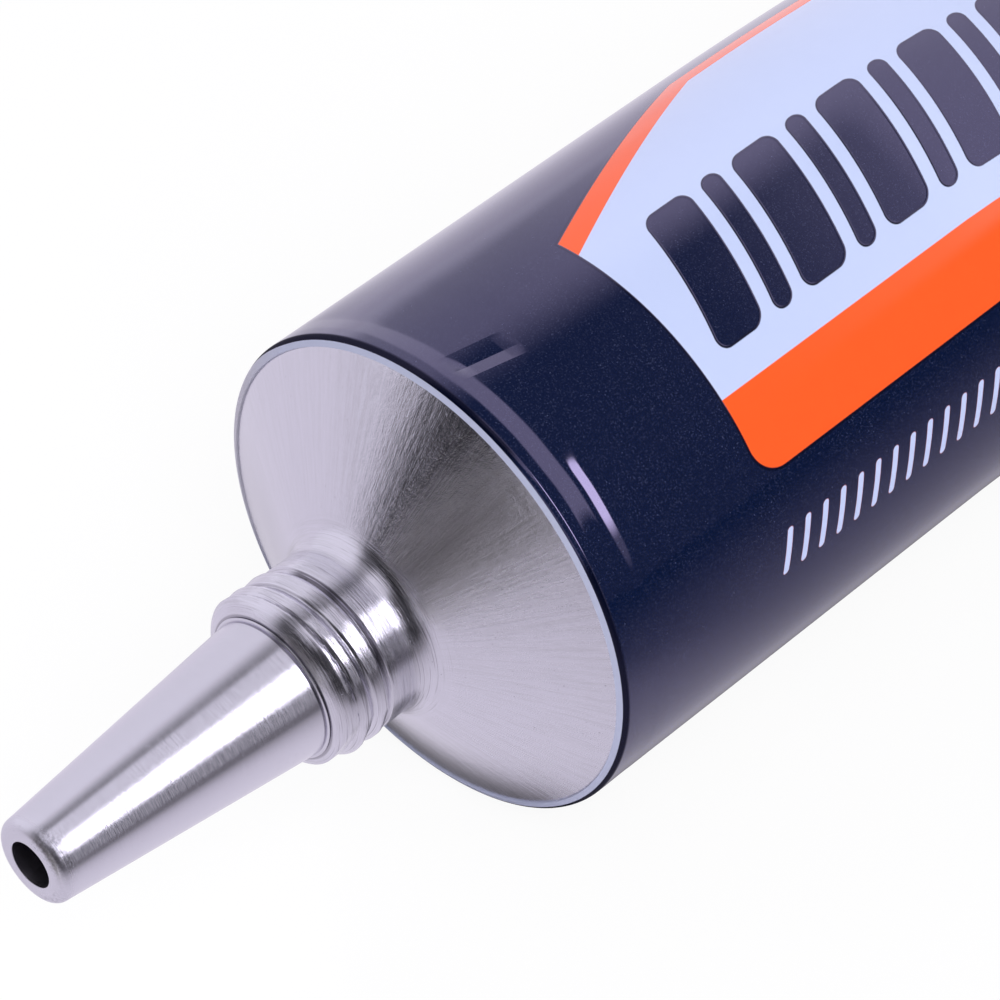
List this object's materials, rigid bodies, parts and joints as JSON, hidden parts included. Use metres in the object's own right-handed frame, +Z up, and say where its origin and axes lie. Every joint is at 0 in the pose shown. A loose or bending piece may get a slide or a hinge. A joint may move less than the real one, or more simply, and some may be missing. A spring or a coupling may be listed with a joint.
{
  "type": "contact cement tube",
  "caption": "Collapsible aluminium adhesive tube with a threaded neck, long conical nozzle, printed coat, crimped fold and a ribbed screw cap taken off.",
  "frame": {"origin": "on the floor, under the middle of the whole length with the cap laid in front of the nozzle", "axes": "+X along the tube from the nozzle to the fold, +Z up from the surface it lies on"},
  "size_m": [0.2326, 0.0502, 0.032],
  "materials": {
    "bare_aluminium": "brushed shoulder, polished cone",
    "tube_aluminium": "plain rolled",
    "printed_enamel": "satin-gloss printed enamel",
    "folded_wall": "enamelled, creased",
    "sealing_latex": "matt",
    "contact_cement": "wet, thick",
    "cap_plastic": "moulded, fluted grip",
    "liner_foam": "matt foam"
  },
  "bodies": {
    "tube": {"nozzle_head": "bare_aluminium", "tube_wall": "tube_aluminium", "enamel_coat": "printed_enamel", "crimp_fold": "folded_wall", "end_seal": "sealing_latex", "adhesive": "contact_cement"},
    "liner": {"cap_liner": "liner_foam"},
    "cap": {"cap": "cap_plastic"}
  },
  "joints": [
    {"name": "cap_pull", "type": "slide", "parent": "tube", "child": "liner", "axis": [1, 0, 0], "range_m": [0, 0.05266]},
    {"name": "cap_turn", "type": "hinge", "parent": "liner", "child": "cap", "pos_m": [-0.1, 0, 0.016], "axis": [-1, 0, 0], "continuous": true}
  ]
}
